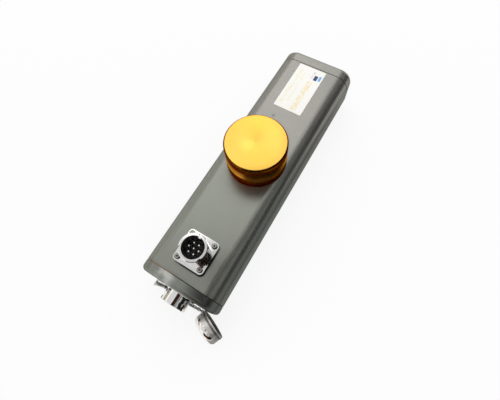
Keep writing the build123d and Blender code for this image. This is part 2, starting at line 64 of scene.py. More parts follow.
# Table and room. A white table top in a white room: it shows white to the eye and in polished metal,
# and keeps the soft shadows under the sensor, the cap and the chain.
class Value:
    """A socket of a finish's node tree. Arithmetic on it adds Math nodes."""

    def __init__(self, tree, socket):
        self.tree, self.socket = tree, socket

    def node(self, kind, settings, sockets, out=0):
        """Adds a node of any type: its settings first, then the values or links of its sockets."""
        made = self.tree.nodes.new("ShaderNode" + kind)
        for name, setting in settings.items():
            if name == "stops":
                for i, (at, colour) in enumerate(setting):
                    ramp = made.color_ramp.elements
                    stop = ramp[i] if i < len(ramp) else ramp.new(at)
                    stop.position, stop.color = at, colour
            else:
                setattr(made, name, setting)
        for name, value in sockets.items():
            if isinstance(value, Value):
                self.tree.links.new(value.socket, made.inputs[name])
            else:
                made.inputs[name].default_value = value
        return Value(self.tree, made.outputs[out])

    def feed(self, shader, name):
        """Links this value to a socket of the shader."""
        self.tree.links.new(self.socket, shader.inputs[name])

    def math(self, operation, first, second=0.0):
        """Adds a Math node in this value's tree."""
        return self.node("Math", {"operation": operation}, {0: first, 1: second})

    def __add__(self, other):
        return self.math("ADD", self, other)

    def __sub__(self, other):
        return self.math("SUBTRACT", self, other)

    def __rsub__(self, other):
        return self.math("SUBTRACT", other, self)

    def __mul__(self, other):
        return self.math("MULTIPLY", self, other)

    def __pow__(self, other):
        return self.math("POWER", self, other)

    def __gt__(self, other):
        return self.math("GREATER_THAN", self, other)

    def __lt__(self, other):
        return self.math("LESS_THAN", self, other)

    __radd__ = __add__
    __rmul__ = __mul__


bpy.ops.object.select_all(action="DESELECT")
bpy.ops.mesh.primitive_plane_add(size=6, location=(0, 0, -0.0002))
table_top = bpy.context.object
table_top.name = "table_top"
table_white = bpy.data.materials.new("table_white")
table_white.use_nodes = True
tree = table_white.node_tree
tree.nodes.remove(tree.nodes["Principled BSDF"])
to_eye = Value(tree, tree.nodes.new("ShaderNodeLightPath").outputs["Is Camera Ray"])
in_metal = to_eye.node("LightPath", {}, {}, "Is Glossy Ray")
in_glass = to_eye.node("LightPath", {}, {}, "Is Transmission Ray")
lit = to_eye.node("BsdfDiffuse", {}, {"Color": (0.93, 0.93, 0.93, 1)})
white = to_eye.node("Emission", {}, {"Color": (1, 1, 1, 1), "Strength": 1.0})
whiteness = (in_metal + in_glass) * 0.3 + to_eye * 0.85
mixed = to_eye.node("MixShader", {}, {0: whiteness, 1: lit, 2: white})
tree.links.new(mixed.socket, tree.nodes["Material Output"].inputs["Surface"])
table_top.data.materials.append(table_white)

world = bpy.data.worlds.new("room")
bpy.context.scene.world = world
world.use_nodes = True
tree = world.node_tree
to_eye = Value(tree, tree.nodes.new("ShaderNodeLightPath").outputs["Is Camera Ray"])
in_metal = to_eye.node("LightPath", {}, {}, "Is Glossy Ray")
in_glass = to_eye.node("LightPath", {}, {}, "Is Transmission Ray")
room_light = to_eye.node("Background", {}, {"Color": (1, 1, 1, 1), "Strength": 0.82})
room_white = to_eye.node("Background", {}, {"Color": (1, 1, 1, 1), "Strength": 1.0})
mixed = to_eye.node("MixShader", {}, {0: in_metal + in_glass + to_eye, 1: room_light, 2: room_white})
tree.links.new(mixed.socket, tree.nodes["World Output"].inputs["Surface"])

# Lamp. A large square soft box high behind the sensor on the left. It looks at the middle of the
# table and gives the faint shadows on the near right.
lamp_place, lamp_side, lamp_watts = Vector((-0.5, 0.85, 1.3)), 1.6, 6.4
lamp = bpy.data.objects.new("key_lamp", bpy.data.lights.new("key_lamp", "AREA"))
bpy.context.scene.collection.objects.link(lamp)
lamp.data.shape = "RECTANGLE"
lamp.data.size, lamp.data.size_y, lamp.data.energy = lamp_side, lamp_side, lamp_watts
lamp.location = lamp_place
lamp.rotation_mode = "QUATERNION"
lamp.rotation_quaternion = (-lamp_place).to_track_quat("-Z", "Y")

# Reflection cards. Painted boards round the table that only gloss sees. The satin coat, the plate
# and the knob take their dark and pale bands from them, as they would from a studio.
room_middle = 0.2


def card(name, colour, width, height, turns, centre, sides=4, fades=()):
    """A board, or a disc of many sides. Each fade shades it by stops along a line through the room."""
    bpy.ops.object.select_all(action="DESELECT")
    bpy.ops.mesh.primitive_circle_add(vertices=sides, radius=math.sqrt(0.5), fill_type="NGON")
    made = bpy.context.object
    made.name = name
    if sides == 4:
        made.data.transform(Matrix.Rotation(math.radians(45), 4, "Z"))
    made.data.transform(Matrix.Diagonal((width, height, 1, 1)))
    for axis, angle in turns:
        made.data.transform(Matrix.Rotation(angle, 4, axis))
    made.data.transform(Matrix.Translation(centre))
    paint = bpy.data.materials.new(name)
    paint.use_nodes = True
    shader = paint.node_tree.nodes["Principled BSDF"]
    shader.inputs["Base Color"].default_value = (*colour, 1)
    shader.inputs["Roughness"].default_value = 1.0
    shader.inputs["Specular IOR Level"].default_value = 0.0
    place = Value(paint.node_tree, paint.node_tree.nodes.new("ShaderNodeTexCoord").outputs["Object"])
    shade = 1.0
    for line, stops in fades:
        reach = place.node("VectorMath", {"operation": "DOT_PRODUCT"}, {0: place, 1: line}, "Value")
        stops = [(at, (grey, grey, grey, 1)) for at, grey in stops]
        shade = place.node("ValToRGB", {"stops": stops}, {0: reach + room_middle}) * shade
    if fades:
        shade.feed(shader, "Base Color")
    made.data.materials.append(paint)
    made.visible_camera = False
    made.visible_diffuse = False
    made.visible_shadow = False


unpainted = (1, 1, 1)
upright, sideways = ("X", math.radians(90)), ("Z", math.radians(90))
across_table = (upright, sideways)
facing_down = (("X", math.pi / 2 - elevation), ("Z", azimuth))
paler_up = ((0, 0, 0.5), ((0.475, 0.012), (0.6, 0.45), (0.7, 0.8)))
darker_back = ((0, 0.5, 0), ((0.3, 1.0), (0.55, 0.1)))
card("card_right", unpainted, 3.0, 1.0, across_table, (1.0, 0, 0.5), fades=(paler_up, darker_back))
darker_right = (
    (0.25, 0.15, 0),
    ((0.0, 0.82), (0.09, 0.82), (0.15, 0.95), (0.2, 1.0), (0.35, 0.85), (0.55, 0.34), (1.0, 0.1)),
)
dip_back = ((0.05, 0.25, 0), ((0.12, 1.0), (0.22, 0.72), (0.32, 0.6), (0.42, 0.85), (0.5, 1.0)))
dip_right = ((0.2, 0.1, 0), ((0.27, 1.0), (0.34, 0.45), (0.39, 0.45), (0.45, 1.0)))
card("card_above", unpainted, 4.0, 6.0, (), (0, 0, 2.0), fades=(darker_right, dip_back, dip_right))
card("card_left", (0.84, 0.83, 0.8), 3.0, 0.58, across_table, (-1.0, 0, 0.29))
card("card_far_left", (0.72, 0.72, 0.71), 1.45, 0.5, across_table, (-1.0, 0.775, 0.83))
card("card_beige", (0.5, 0.46, 0.35), 0.5, 0.58, across_table, (-0.98, -0.4, 0.29))
card("card_near", (0.02, 0.014, 0.01), 1.25, 0.75, (upright,), (0.475, -1.0, 0.375))
card("card_orange", (0.95, 0.4, 0.05), 0.2, 0.13, (upright,), (0.14, -0.98, 0.065))
paler_back = ((0, 1, 0), ((0.0, 0.32), (0.23, 0.32), (0.31, 0.45), (0.36, 0.8), (0.42, 0.95)))
card("card_floor", unpainted, 0.95, 1.8, (), (0.525, 0.6, 0.0001), fades=(paler_back,))
card("card_camera", (0.035, 0.013, 0.009), 0.148, 0.148, facing_down, (0.11, -0.16, 0.457), sides=48)
card("card_hand", (0.012, 0.008, 0.006), 0.01, 0.032, (), (0.0215, -0.11, 0.105))

# Housing. A drawn aluminium tube and a cast far end cap, both with a grey-green satin coat of fine
# grain that is warmer towards the far end. A dark mark lies behind the knob, and dirt has settled
# at the near seam. A painted shadow darkens the roof along the right and near sides of the top
# connector.
roof, near_seam = 0.057, -0.1367
top_connector_y, flange_half, flange_corner = -0.1093, 0.01625, 0.0035
mark_place, mark_radius = (-0.011, 0.055, roof), 0.003


def finish(name, colour, roughness, metallic=0.0):
    """A new material with its plain values. Gives it, its shader and the place that patterns read."""
    made = bpy.data.materials.new(name)
    made.use_nodes = True
    shader = made.node_tree.nodes["Principled BSDF"]
    shader.inputs["Base Color"].default_value = (*colour, 1)
    shader.inputs["Roughness"].default_value = roughness
    shader.inputs["Metallic"].default_value = metallic
    place = Value(made.node_tree, made.node_tree.nodes.new("ShaderNodeTexCoord").outputs["Object"])
    return made, shader, place


def grain(place, size, detail=2.0, stretch=(1, 1, 1)):
    """Noise whose grains are about this size, in metres."""
    drawn = place.node("VectorMath", {"operation": "MULTIPLY"}, {0: place, 1: stretch})
    sockets = {"Vector": drawn, "Scale": 1 / size, "Detail": detail, "Roughness": 0.6}
    return place.node("TexNoise", {}, sockets)


def along(place, axis):
    """One coordinate of the place."""
    return place.node("SeparateXYZ", {}, {0: place}, axis)


def step(value, low, high):
    """Rises smoothly from 0 at low to 1 at high."""
    return value.node("MapRange", {"interpolation_type": "SMOOTHSTEP"}, {0: value, 1: low, 2: high})


def spot(place, centre, radius):
    """1 at the centre, falling to 0 at the radius."""
    away = place.node("VectorMath", {"operation": "DISTANCE"}, {0: place, 1: centre}, "Value")
    return 1.0 - step(away, 0.25 * radius, radius)


def tint(place, share, first, second):
    """A mix of two colours, each written as numbers or taken from another mix."""
    first, second = (c if isinstance(c, Value) else (*c, 1) for c in (first, second))
    return place.node("Mix", {"data_type": "RGBA"}, {0: share, 6: first, 7: second}, 2)


def relief(place, shader, height, depth):
    """Feeds a bump of this depth, in metres, to the shader."""
    sockets = {"Height": height, "Strength": 1.0, "Distance": depth}
    place.node("Bump", {}, sockets).feed(shader, "Normal")


def dress(material, *names):
    """Gives CAD pieces a finish."""
    for name in names:
        for slot in nodes[name].material_slots:
            slot.material = material


housing_coat, shader, place = finish("housing_coat", (0.29, 0.3, 0.265), 0.3, 0.9)
shader.inputs["Specular Tint"].default_value = (0.4, 0.42, 0.38, 1)
cloud = grain(place, 0.03, 3.0)
drawn = grain(place, 0.0015, 2.0, (1, 0.06, 1))
fine = grain(place, 0.0005)
mottle = cloud * 0.6 + drawn * 0.4
cool = tint(place, mottle, (0.262, 0.275, 0.238), (0.322, 0.33, 0.296))
warm = tint(place, mottle, (0.285, 0.277, 0.252), (0.34, 0.333, 0.307))
coat = tint(place, step(along(place, "Y"), -0.04, 0.07), cool, warm)
coat = tint(place, spot(place, mark_place, mark_radius) * 0.5, coat, (0.12, 0.115, 0.13))
seam_dirt = 1.0 - step(along(place, "Y") - near_seam, 0.0, 0.004)
coat = tint(place, seam_dirt * step(cloud, 0.35, 0.65) * 0.35, coat, (0.2, 0.19, 0.16))
across, ahead = along(place, "X"), along(place, "Y") - top_connector_y
straight = flange_half - flange_corner
beside = place.math("MAXIMUM", place.math("ABSOLUTE", across) - straight, 0.0)
before = place.math("MAXIMUM", place.math("ABSOLUTE", ahead) - straight, 0.0)
from_flange = (beside * beside + before * before) ** 0.5 - flange_corner
# Painted shadow: the roof is darkened just outside the right and near sides of the flange.
flange_shadow = (1.0 - step(from_flange, 0.0005, 0.0022)) * step(across - ahead, 0.0, 0.014)
coat = tint(place, flange_shadow * (along(place, "Z") > roof - 0.0005), coat, (0.006, 0.006, 0.005))
coat.feed(shader, "Base Color")
(0.24 + cloud * 0.08 + fine * 0.05).feed(shader, "Roughness")
relief(place, shader, fine * 0.7 + drawn * 0.3, 0.00002)
dress(housing_coat, "housing_tube", "far_end_cap")

# Near end cap. A casting with the same coat, screwed to the tube. Its top is a little crowned. A
# painted highlight lies on the left of its top, and a painted shade darkens the right.
highlight_place, highlight_radius = (-0.013, -0.1415, roof), 0.013
crown_line, crown_curve, crown_lean = -0.012, -2.6, 0.05
cap_coat, shader, place = finish("near_cap_coat", (0.27, 0.28, 0.25), 0.34, 0.9)
shader.inputs["Specular Tint"].default_value = (0.4, 0.42, 0.38, 1)
cloud = grain(place, 0.012, 3.0)
fine = grain(place, 0.0005)
side = along(place, "X")
# Painted highlight: a light patch on the left of the top.
cap_highlight = spot(place, highlight_place, highlight_radius) * step(cloud, 0.3, 0.6)
# Painted shade: the right of the top is darkened.
cap_shade = step(side, 0.004, 0.025) * (1.0 - step(side, 0.033, 0.039))
coat = tint(place, cloud, (0.25, 0.262, 0.23), (0.3, 0.31, 0.28))
coat = tint(place, cap_shade * 0.8, coat, (0.07, 0.071, 0.066))
coat = tint(place, cap_highlight * 0.9, coat, (0.66, 0.66, 0.63))
coat.feed(shader, "Base Color")
(0.28 + cloud * 0.1 + fine * 0.04).feed(shader, "Roughness")
from_crown = side - crown_line
crown = from_crown * from_crown * crown_curve + along(place, "Y") * crown_lean
relief(place, shader, crown + fine * 0.00002, 1.0)
dress(cap_coat, "near_end_cap")

# End gaskets. Flat black rubber, pressed between the caps and the tube. Rust-brown dirt has settled
# in the seam along the left of the near one and most of the far one.
seam_rubber, shader, place = finish("seam_rubber", (0.02, 0.02, 0.02), 0.75)
patch = grain(place, 0.004, 3.0)
side, run = along(place, "X"), along(place, "Y")
near_dirt = (1.0 - step(side, -0.014, 0.0)) * (run < 0)
far_dirt = (run > 0) * (1.0 - step(side, 0.015, 0.03)) * 0.6
dirt = step(patch, 0.3, 0.5) * (near_dirt + far_dirt)
tint(place, dirt, (0.015, 0.013, 0.011), (0.3, 0.15, 0.05)).feed(shader, "Base Color")
relief(place, shader, grain(place, 0.0004), 0.00003)
dress(seam_rubber, "near_end_gasket", "far_end_gasket")

# Cap screws. Blackened steel socket heads, sunk in the end caps and screwed into the channels of
# the tube.
black_steel, shader, place = finish("black_steel", (0.05, 0.05, 0.05), 0.35, 1.0)
fine = grain(place, 0.0005)
tint(place, fine, (0.035, 0.035, 0.037), (0.08, 0.078, 0.075)).feed(shader, "Base Color")
(0.3 + fine * 0.15).feed(shader, "Roughness")
dress(black_steel, "near_cap_screws", "far_cap_screws")

# Mounting knob. Turned aluminium, anodised gold. Its faced top is painted bright, with a painted
# sheen and highlight, and its flank deep orange-brown, with painted bands of shade and reflection:
# lit and shaded copies of one gold. A blind hole takes its bolt. The edges are broken by the tool
# and the top keeps its marks.
foot_radius, foot_edge, hole_radius, hole_depth = 0.0299, 0.0006, 0.00505, 0.0209
rim_radius, neck_radius, face_radius, centre_radius = 0.0305, 0.0255, 0.0291, 0.0003
lower_rim, slope, neck, upper_rim, broken = 0.0129, 0.005, 0.0075, 0.0086, 0.0014
bpy.ops.object.select_all(action="DESELECT")
bpy.ops.mesh.primitive_cylinder_add(
    vertices=160, radius=foot_radius, depth=foot_edge, location=(0, 0, roof + foot_edge / 2)
)
bpy.ops.object.transform_apply(location=True, rotation=True, scale=True)
knob = bpy.context.object
knob.name = "turned_knob"


def pick(piece, test):
    """Selects the faces, by their centre and normal, that pass the test."""
    bpy.context.view_layer.objects.active = piece
    bpy.ops.object.mode_set(mode="EDIT")
    bpy.ops.mesh.select_mode(type="FACE")
    bpy.ops.mesh.select_all(action="DESELECT")
    bpy.ops.object.mode_set(mode="OBJECT")
    for face in piece.data.polygons:
        face.select = test(face.center, face.normal)
    bpy.ops.object.mode_set(mode="EDIT")


def widen(scale):
    """Scales the selected level faces about the axis."""
    bpy.ops.transform.resize(value=(scale, scale, 1), center_override=(0, 0, 0))


def raise_faces(height, scale=1.0):
    """Extrudes the selected level faces along Z, then scales them about the axis."""
    bpy.ops.mesh.extrude_region_move(TRANSFORM_OT_translate={"value": (0, 0, height)})
    widen(scale)


pick(knob, lambda centre, normal: normal.z < -0.9)
bpy.ops.mesh.inset(thickness=foot_radius - hole_radius)
raise_faces(hole_depth)
pick(knob, lambda centre, normal: normal.z > 0.9 and centre.z > roof + foot_edge / 2)
widen(rim_radius / foot_radius)
raise_faces(lower_rim)
raise_faces(slope, neck_radius / rim_radius)
raise_faces(neck)
raise_faces(0.0, rim_radius / neck_radius)
raise_faces(upper_rim)
raise_faces(broken, face_radius / rim_radius)
bpy.ops.mesh.inset(thickness=face_radius - centre_radius)
raise_faces(-0.00012, 0.5)
bpy.ops.mesh.select_all(action="SELECT")
bpy.ops.mesh.remove_doubles(threshold=0.000001)
bpy.ops.mesh.normals_make_consistent(inside=False)
bpy.ops.object.mode_set(mode="OBJECT")


def bevel(piece, width, angle=25):
    """Rounds the edges sharper than the angle by a modifier, and applies it."""
    bpy.context.view_layer.objects.active = piece
    rounding = piece.modifiers.new("rounding", "BEVEL")
    rounding.width, rounding.segments, rounding.limit_method = width, 2, "ANGLE"
    rounding.angle_limit = math.radians(angle)
    bpy.ops.object.modifier_apply(modifier=rounding.name)


def smooth(piece, angle=30):
    """Shades the rounded parts smooth and keeps the edges sharper than the angle."""
    bpy.ops.object.select_all(action="DESELECT")
    piece.select_set(True)
    bpy.context.view_layer.objects.active = piece
    bpy.ops.object.shade_smooth_by_angle(angle=math.radians(angle))


def waves(value, pitch):
    """Even waves from -1 to 1, this far apart in metres."""
    return value.math("SINE", value * (2 * math.pi / pitch))


bevel(knob, 0.0002)
smooth(knob)
rim_top = roof + foot_edge + lower_rim
slope_top = rim_top + slope
face_height = slope_top + neck + upper_rim + broken
knob_gold, shader, place = finish("knob_gold", (0.95, 0.5, 0.1), 0.25, 1.0)
shader.inputs["Specular Tint"].default_value = (0.6, 0.24, 0.05, 1)
flat = place.node("VectorMath", {"operation": "MULTIPLY"}, {0: place, 1: (1, 1, 0)})
radius = place.node("VectorMath", {"operation": "LENGTH"}, {0: flat}, "Value")
height = along(place, "Z")
turn = place.math("ARCTAN2", along(place, "Y"), along(place, "X"))
rings = waves(radius + height, 0.0006)
coarse = {"W": (radius + height) * 900.0, "Scale": 1.0, "Detail": 3.0}
coarse_rings = place.node("TexNoise", {"noise_dimensions": "1D"}, coarse)
cloud = grain(place, 0.009, 3.0)
# Painted sheen: the top is lighter and darker in fans around the axis, as light catches a turned face.
fan = place.math("SINE", turn * 2.0 + 0.5) * 0.5 + 0.5
spoke = place.node("VectorMath", {"operation": "NORMALIZE"}, {0: flat})
sheen_streaks = grain(spoke, 0.3)
painted_sheen = fan * 0.5 + sheen_streaks * 0.35 + cloud * 0.15
# Painted light: the faced top is a far lighter gold than the flank.
top = tint(place, painted_sheen, (0.95, 0.49, 0.07), (0.99, 0.57, 0.115))
# Painted light: the front of the top is lighter.
lighter_front = 1.0 - step(along(place, "Y"), -0.036, 0.004)
top = tint(place, lighter_front * 0.7, top, (1.0, 0.64, 0.12))
# Painted highlight: a bright spot on the top, in front of and left of the middle.
knob_highlight = spot(place, (-0.006, -0.0075, face_height), 0.009)
top = tint(place, knob_highlight * 0.4, top, (1.0, 0.66, 0.13))
# Painted shade: the flank is a much darker orange-brown than the top.
shaded_flank = tint(place, coarse_rings * 0.5 + cloud * 0.5, (0.3, 0.11, 0.012), (0.46, 0.19, 0.022))
above_rim = step(height, rim_top - 0.0003, rim_top + 0.0002)
on_slope = above_rim * (1.0 - step(height, slope_top - 0.0001, slope_top + 0.0004))
# Painted reflection on the slope: a dark band above a bright one.
slope_shade = on_slope * step(height, rim_top + 0.001, rim_top + 0.0035)
slope_reflection = on_slope * (1.0 - step(height, rim_top + 0.0007, rim_top + 0.0027))
shaded_flank = tint(place, slope_shade * 0.6, shaded_flank, (0.12, 0.045, 0.006))
shaded_flank = tint(place, slope_reflection * 0.7, shaded_flank, (0.64, 0.26, 0.036))
# Painted shade: the lower rim darkens towards the foot, where it stands on the roof.
low = 1.0 - step(height, rim_top - 0.0095, rim_top - 0.001)
shaded_flank = tint(place, low * 0.5, shaded_flank, (0.12, 0.04, 0.006))
# Painted shade: the broken top edge and the rim just below it are darkened.
edge_shade = step(height, face_height - broken - 0.0004, face_height - broken)
shaded_flank = tint(place, edge_shade * 0.8, shaded_flank, (0.09, 0.022, 0.004))
faced = step(height, face_height - 0.00015, face_height - 0.00002)
tint(place, faced, shaded_flank, top).feed(shader, "Base Color")
(0.16 + cloud * 0.05 + coarse_rings * 0.04 + on_slope * 0.09).feed(shader, "Roughness")
relief(place, shader, rings * 0.4 + coarse_rings, 0.0000025)
knob.data.materials.append(knob_gold)
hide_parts("mounting_knob")
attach(knob, "sensor")

# Knob bolt and washer. Plain zinc-plated steel. The bolt goes up through the roof from inside the
# tube, with the washer under its head.
plain_steel, shader, place = finish("plain_steel", (0.45, 0.45, 0.44), 0.35, 1.0)
fine = grain(place, 0.0008, 3.0, (1, 1, 6))
tint(place, fine, (0.32, 0.32, 0.31), (0.52, 0.52, 0.5)).feed(shader, "Base Color")
(0.25 + fine * 0.2).feed(shader, "Roughness")
relief(place, shader, fine, 0.00001)
dress(plain_steel, "knob_washer", "knob_bolt")

# Connector gaskets. Black rubber sheets cut to the flanges, which show as a dark edge round each
# one. The screws press them on the housing.
seal_rubber, shader, place = finish("seal_rubber", (0.02, 0.02, 0.02), 0.7)
fine = grain(place, 0.0004)
tint(place, fine, (0.014, 0.013, 0.012), (0.03, 0.027, 0.024)).feed(shader, "Base Color")
relief(place, shader, fine, 0.00002)
dress(seal_rubber, "top_connector_gasket", "end_connector_gasket")

# Connector shells. Turned and milled, with bright nickel plate that has yellowed slightly and
# dulled in small patches. Four screws hold each one by its flange.
nickel_plate, shader, place = finish("nickel_plate", (0.78, 0.76, 0.71), 0.14, 1.0)
cloud = grain(place, 0.006, 3.0)
fine = grain(place, 0.0004)
dull = step(grain(place, 0.0022, 4.0), 0.55, 0.8)
plate = tint(place, cloud, (0.9, 0.89, 0.86), (0.97, 0.965, 0.95))
tint(place, dull * 0.25, plate, (0.5, 0.46, 0.38)).feed(shader, "Base Color")
(0.06 + cloud * 0.06 + dull * 0.1).feed(shader, "Roughness")
relief(place, shader, fine, 0.0000015)
dress(nickel_plate, "top_connector_shell", "end_connector_shell")

# Connector inserts. Black moulded plastic with a matt face, pressed into the shells. They hold the
# pins.
insert_black, shader, place = finish("insert_black", (0.012, 0.012, 0.012), 0.5)
shader.inputs["Specular IOR Level"].default_value = 0.2
fine = grain(place, 0.0004)
tint(place, fine, (0.007, 0.007, 0.007), (0.018, 0.018, 0.018)).feed(shader, "Base Color")
(0.42 + fine * 0.15).feed(shader, "Roughness")
relief(place, shader, fine, 0.00001)
dress(insert_black, "top_connector_insert", "end_connector_insert")

# Contact pins. Turned, with a silver flash: a round-nosed pin on a collar, with a solder cup
# drilled in its back. Seven are pressed into each insert, one in the middle and six round it.
top_frame = Matrix.Translation((0, top_connector_y, roof))
end_seat = -0.1445
end_frame = Matrix.Translation((0, end_seat, roof / 2)) @ Matrix.Rotation(math.radians(90), 4, "X")
collar_radius, collar_back, collar_front = 0.0012, -0.012, -0.0075
pin_wall, cup_depth, nose, pin_ring = 0.0004, 0.003, 0.0005, 0.0052
pin_silver, shader, place = finish("pin_silver", (0.8, 0.79, 0.75), 0.2, 1.0)
fine = grain(place, 0.0006)
tint(place, fine, (0.86, 0.85, 0.81), (0.96, 0.955, 0.94)).feed(shader, "Base Color")
(0.26 + fine * 0.1).feed(shader, "Roughness")


def contact_pin(reach):
    """One pin along Z, whose nose is this far out."""
    bpy.ops.object.select_all(action="DESELECT")
    bpy.ops.mesh.primitive_cylinder_add(
        vertices=24,
        radius=collar_radius,
        depth=collar_front - collar_back,
        location=(0, 0, (collar_front + collar_back) / 2),
    )
    bpy.ops.object.transform_apply(location=True, rotation=True, scale=True)
    pin = bpy.context.object
    pick(pin, lambda centre, normal: normal.z < -0.9)
    bpy.ops.mesh.inset(thickness=pin_wall)
    raise_faces(cup_depth)
    pick(pin, lambda centre, normal: normal.z > 0.9 and centre.z > collar_front - 0.0005)
    bpy.ops.mesh.inset(thickness=pin_wall)
    raise_faces(reach - nose - collar_front)
    raise_faces(0.0002, 0.9)
    raise_faces(0.00012, 0.8)
    raise_faces(0.00005, 0.6)
    bpy.ops.object.mode_set(mode="OBJECT")
    return pin


def join(pieces, name):
    """Makes one object of the pieces."""
    bpy.ops.object.select_all(action="DESELECT")
    for piece in pieces:
        piece.select_set(True)
    bpy.context.view_layer.objects.active = pieces[0]
    bpy.ops.object.join()
    pieces[0].name = name
    return pieces[0]


def copy_of(piece, move):
    """A copy with its own mesh, moved by a matrix."""
    made = piece.copy()
    made.data = piece.data.copy()
    made.data.transform(move)
    bpy.context.scene.collection.objects.link(made)
    return made


holes = [(0, 0, 0)]
for i in range(6):
    turned = math.radians(60 * i)
    holes.append((pin_ring * math.cos(turned), pin_ring * math.sin(turned), 0))
for name, connector, reach in (("top", top_frame, 0.0153), ("end", end_frame, 0.0118)):
    pin = contact_pin(reach)
    pins = join([copy_of(pin, connector @ Matrix.Translation(at)) for at in holes], name + "_contacts")
    bpy.data.objects.remove(pin)
    smooth(pins, 40)
    pins.data.materials.append(pin_silver)
    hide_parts(name + "_connector_pins")
    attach(pins, "sensor")

# Flange screws. Steel pan heads with a cross recess, four through each flange into the housing. One
# head of the end connector stands on the chain's lug. The heads are painted near black on their
# sides and in the recess as shade, and keep the worn steel colour only on top as painted light.
head_radius, head_height, shank_length, shank_tip = 0.0027, 0.0019, 0.009, 0.0003
half_pitch, flange_top, lug_thickness = 0.0123, 0.0036, 0.0008
bpy.ops.object.select_all(action="DESELECT")
bpy.ops.mesh.primitive_cylinder_add(
    vertices=40, radius=head_radius, depth=head_height, location=(0, 0, head_height / 2)
)
bpy.ops.object.transform_apply(location=True, rotation=True, scale=True)
pan_head = bpy.context.object
pick(pan_head, lambda centre, normal: normal.z > 0.9)
bpy.ops.mesh.bevel(offset=0.0009, segments=4, profile=0.55, affect="EDGES")
pick(pan_head, lambda centre, normal: normal.z < -0.9)
bpy.ops.mesh.inset(thickness=0.0012)
raise_faces(shank_tip - shank_length)
raise_faces(-shank_tip, 0.8)
bpy.ops.object.mode_set(mode="OBJECT")
for quarter in (0, 90):
    bpy.ops.object.select_all(action="DESELECT")
    bpy.ops.mesh.primitive_cube_add(size=1, location=(0, 0, 0.0018), scale=(0.0032, 0.0007, 0.0018))
    blade = bpy.context.object
    blade.rotation_euler = (0, 0, math.radians(quarter))
    bpy.ops.object.transform_apply(location=True, rotation=True, scale=True)
    pick(blade, lambda centre, normal: normal.z < -0.9)
    widen(0.6)
    bpy.ops.object.mode_set(mode="OBJECT")
    bpy.context.view_layer.objects.active = pan_head
    recess = pan_head.modifiers.new("recess", "BOOLEAN")
    recess.operation, recess.solver, recess.object = "DIFFERENCE", "EXACT", blade
    bpy.ops.object.modifier_apply(modifier=recess.name)
    bpy.data.objects.remove(blade)
screw_steel, shader, place = finish("screw_steel", (0.3, 0.28, 0.26), 0.22, 1.0)
fine = grain(place, 0.0007, 3.0)
out = place.math("MAXIMUM", along(place, "Z") - roof, end_seat - along(place, "Y"))
head_top = flange_top + head_height
worn = tint(place, step(fine, 0.4, 0.7), (0.46, 0.44, 0.41), (0.22, 0.21, 0.19))
# Painted light and shade: each head is near black below its top and steel-coloured on top.
lit_head_top = step(out, head_top - 0.0002, head_top)
tint(place, lit_head_top, (0.015, 0.013, 0.011), worn).feed(shader, "Base Color")
(0.14 + fine * 0.12).feed(shader, "Roughness")
for name, connector, on_lug in (("top", top_frame, None), ("end", end_frame, 1)):
    screws = []
    for i, (x, y, angle) in enumerate(((-1, -1, 20), (-1, 1, 65), (1, 1, 40), (1, -1, 5))):
        seat = flange_top + lug_thickness if i == on_lug else flange_top
        at = Matrix.Translation((half_pitch * x, half_pitch * y, seat))
        spin = Matrix.Rotation(math.radians(angle), 4, "Z")
        screws.append(copy_of(pan_head, connector @ at @ spin))
    screws = join(screws, name + "_flange_screws")
    smooth(screws, 35)
    screws.data.materials.append(screw_steel)
    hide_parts(name + "_connector_screws")
    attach(screws, "sensor")
bpy.data.objects.remove(pan_head)

# Wires. Seven from each connector to the board, and two from each transducer, all soldered. Soft
# plastic skin, one colour to a wire.
wire_skin, shader, place = finish("wire_skin", (0.5, 0.03, 0.02), 0.45)
shade = grain(place, 0.004, 0.0, (1, 1, 0.02))
skin_colours = (
    (0.0, (0.5, 0.02, 0.015, 1)),
    (0.45, (0.02, 0.02, 0.02, 1)),
    (0.52, (0.7, 0.5, 0.03, 1)),
    (0.6, (0.03, 0.1, 0.4, 1)),
)
place.node("ValToRGB", {"stops": skin_colours}, {0: shade}).feed(shader, "Base Color")
relief(place, shader, grain(place, 0.0008), 0.00001)
dress(wire_skin, "transducer_leads", "top_connector_wires", "end_connector_wires")

# Circuit board. Glass-fibre sheet with green lacquer over its copper tracks, slid in on the ribs of
# the tube.
board_green, shader, place = finish("board_green", (0.02, 0.13, 0.05), 0.3)
tracks = waves(along(place, "X"), 0.002618) * waves(along(place, "Y"), 0.006981)
tracks = step(tracks + grain(place, 0.006), 0.7, 0.75)
tint(place, tracks, (0.012, 0.085, 0.032), (0.03, 0.17, 0.06)).feed(shader, "Base Color")
relief(place, shader, tracks, 0.00003)
dress(board_green, "circuit_board")

# Chips and wire blocks. Black and grey moulded plastic. They are soldered on the board, and the
# blocks take the ends of the wires.
chip_black, shader, place = finish("chip_black", (0.02, 0.02, 0.022), 0.5)
fine = grain(place, 0.0005)
tint(place, fine, (0.015, 0.015, 0.016), (0.035, 0.035, 0.037)).feed(shader, "Base Color")
relief(place, shader, fine, 0.00002)
dress(chip_black, "board_chips")
block_grey, shader, place = finish("block_grey", (0.3, 0.31, 0.3), 0.5)
fine = grain(place, 0.0006)
tint(place, fine, (0.25, 0.26, 0.25), (0.36, 0.37, 0.36)).feed(shader, "Base Color")
relief(place, shader, fine, 0.00002)
dress(block_grey, "top_wire_block", "end_wire_block")

# Capacitors and transducers. Drawn aluminium cans. The first are soldered on the board, and the
# others sit in their sleeves.
can_metal, shader, place = finish("can_metal", (0.6, 0.6, 0.6), 0.35, 1.0)
drawn = grain(place, 0.0012, 3.0, (1, 1, 0.05))
tint(place, drawn, (0.48, 0.48, 0.48), (0.68, 0.68, 0.67)).feed(shader, "Base Color")
(0.25 + drawn * 0.2).feed(shader, "Roughness")
dress(can_metal, "board_capacitors", "transducers")

